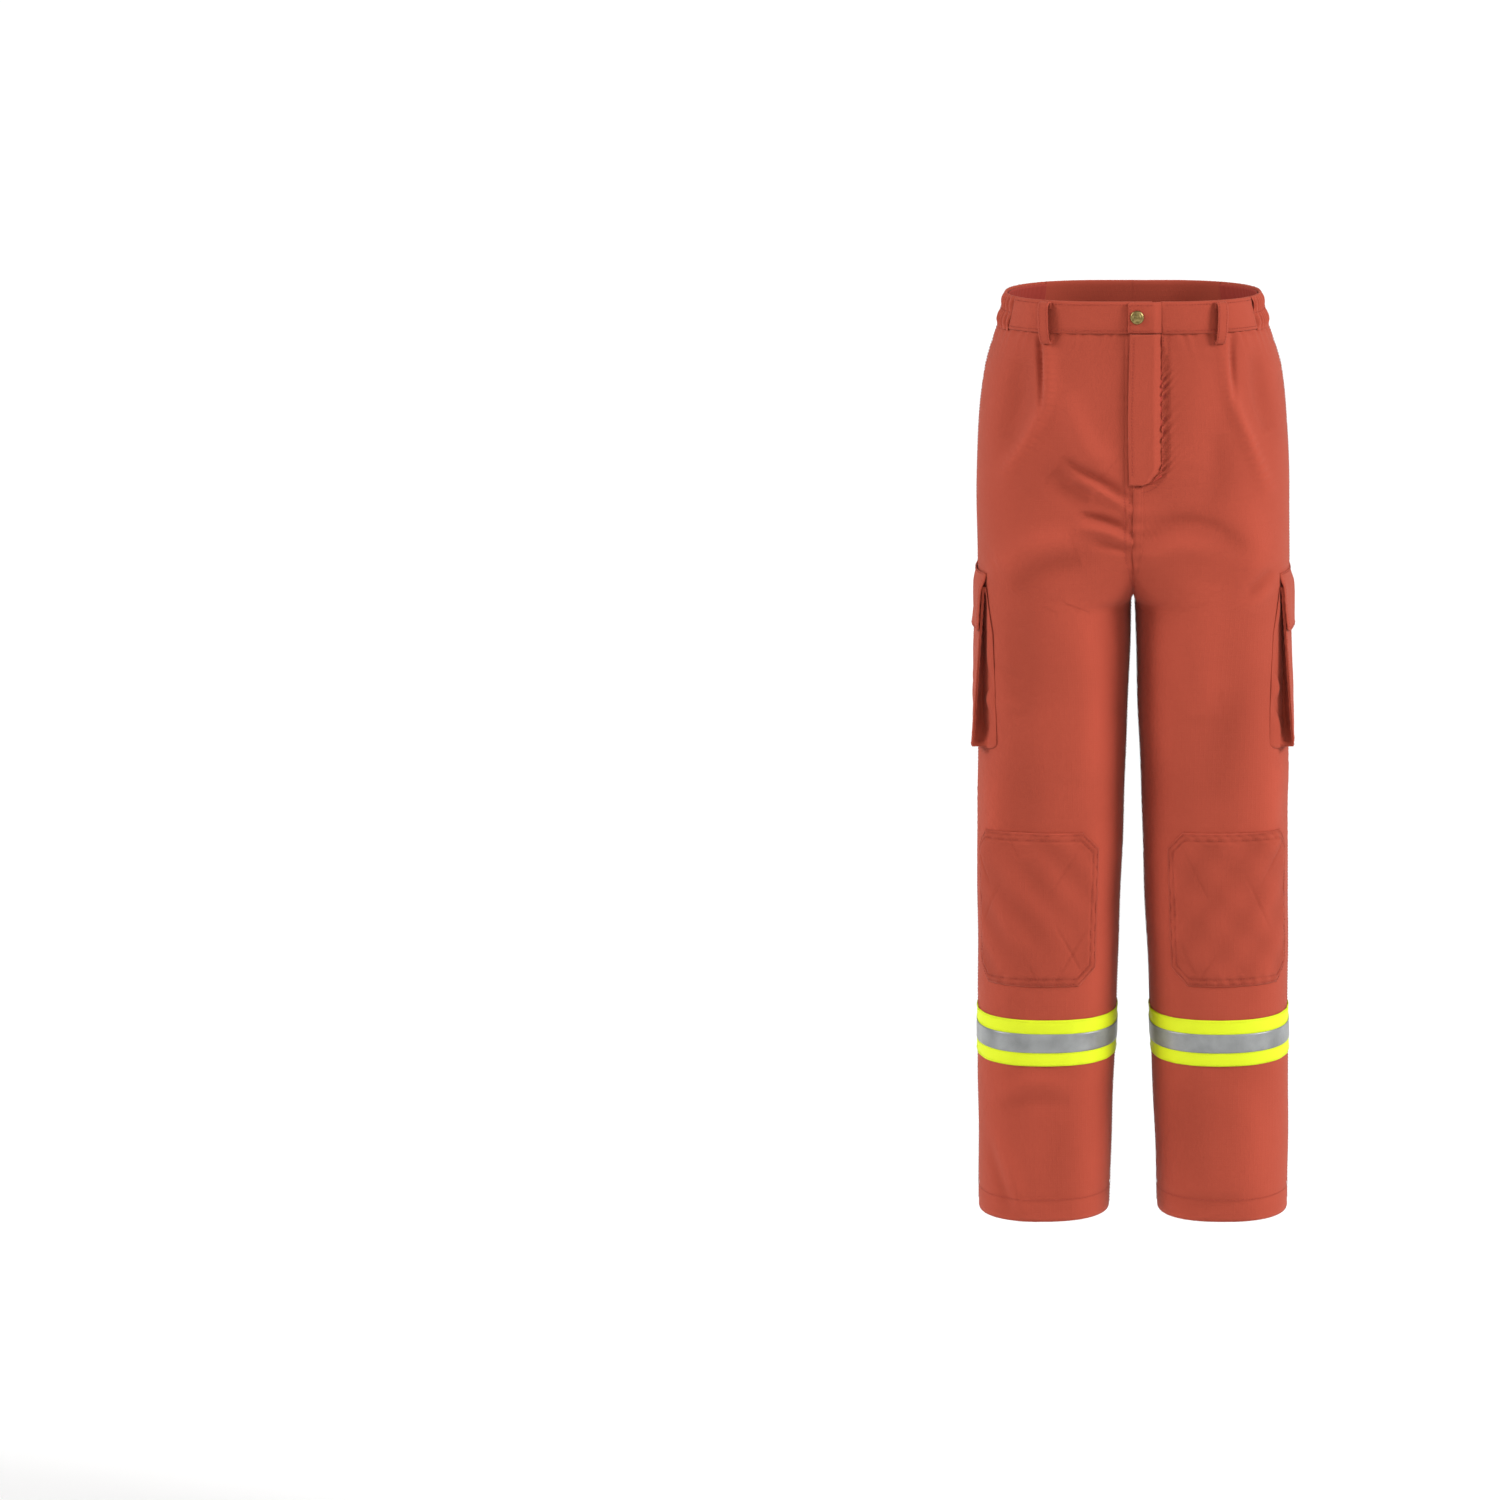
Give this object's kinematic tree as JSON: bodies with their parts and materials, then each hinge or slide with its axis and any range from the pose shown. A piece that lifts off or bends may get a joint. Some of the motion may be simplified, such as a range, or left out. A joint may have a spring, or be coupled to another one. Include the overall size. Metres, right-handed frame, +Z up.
{
  "type": "firefighting bunker pants",
  "caption": "Orange-red firefighting trousers with waistband, belt loops, fly, bellows cargo pockets, quilted knee patches and reflective leg tape.",
  "frame": {"origin": "centre of the waist opening, level with the waistband's top edge", "axes": "+Z up towards the waist, -Y the front of the garment, +X the wearer's left"},
  "size_m": [0.3562, 0.2783, 1.016],
  "materials": {
    "shell_cloth": "matte aramid ripstop, orange-red",
    "lining_cloth": "matte, darker red",
    "elastic": "ribbed woven elastic",
    "hook_loop": "hook-and-loop pile",
    "zip_tape": "woven zip tape with coated teeth",
    "brass": "antiqued, satin",
    "foam": "closed-cell foam pad",
    "hivis_tape": "fluorescent yellow woven tape",
    "reflective": "silver retro-reflective"
  },
  "bodies": {
    "trousers": {"back_panel_left": "shell_cloth", "back_panel_right": "shell_cloth", "belt_loop_back_centre": "shell_cloth", "belt_loop_back_left": "shell_cloth", "belt_loop_back_right": "shell_cloth", "belt_loop_front_left": "shell_cloth", "belt_loop_front_right": "shell_cloth", "cargo_face_left": "shell_cloth", "cargo_face_right": "shell_cloth", "cargo_gusset_left": "lining_cloth", "cargo_gusset_right": "lining_cloth", "cargo_loop_strip_left": "hook_loop", "cargo_loop_strip_right": "hook_loop", "fly_facing": "lining_cloth", "fly_shield": "lining_cloth", "front_panel_left": "shell_cloth", "front_panel_right": "shell_cloth", "hem_band_left": "lining_cloth", "hem_band_right": "lining_cloth", "hivis_tape_left": "hivis_tape", "hivis_tape_right": "hivis_tape", "knee_pad_left": "foam", "knee_pad_right": "foam", "knee_patch_left": "shell_cloth", "knee_patch_right": "shell_cloth", "reflective_strip_left": "reflective", "reflective_strip_right": "reflective", "side_casing_left": "shell_cloth", "side_casing_right": "shell_cloth", "snap_stud": "brass", "snap_washer": "brass", "waist_elastic_left": "elastic", "waist_elastic_right": "elastic", "waistband_back": "shell_cloth", "waistband_front_left": "shell_cloth", "waistband_front_right": "shell_cloth", "zip_bottom_stop": "brass", "zip_tape_left": "zip_tape", "zip_tape_right": "zip_tape"},
    "fly_flap": {"fly_placket": "shell_cloth", "waistband_tab": "shell_cloth", "snap_cap": "brass", "snap_socket": "brass"},
    "zip_slider": {"zip_slider": "brass"},
    "zip_pull": {"zip_pull": "brass"},
    "cargo_flap_left": {"cargo_flap_left": "shell_cloth", "cargo_hook_strip_left": "hook_loop"},
    "cargo_flap_right": {"cargo_flap_right": "shell_cloth", "cargo_hook_strip_right": "hook_loop"}
  },
  "joints": [
    {"name": "fly_flap_hinge", "type": "hinge", "parent": "trousers", "child": "fly_flap", "pos_m": [0.0305, -0.1215, 0], "axis": [0, 0, 1], "range_deg": [0, 120]},
    {"name": "zip_slide", "type": "slide", "parent": "trousers", "child": "zip_slider", "axis": [0, 0, -1], "range_m": [0, 0.14]},
    {"name": "zip_pull_swivel", "type": "hinge", "parent": "zip_slider", "child": "zip_pull", "pos_m": [0.011, -0.122, -0.045], "axis": [0, 1, 0], "range_deg": [-30, 30]},
    {"name": "cargo_flap_left_hinge", "type": "hinge", "parent": "trousers", "child": "cargo_flap_left", "pos_m": [0.1732, 0, -0.302], "axis": [0, -1, 0], "range_deg": [0, 150]},
    {"name": "cargo_flap_right_hinge", "type": "hinge", "parent": "trousers", "child": "cargo_flap_right", "pos_m": [-0.1732, 0, -0.302], "axis": [0, 1, 0], "range_deg": [0, 150]}
  ]
}
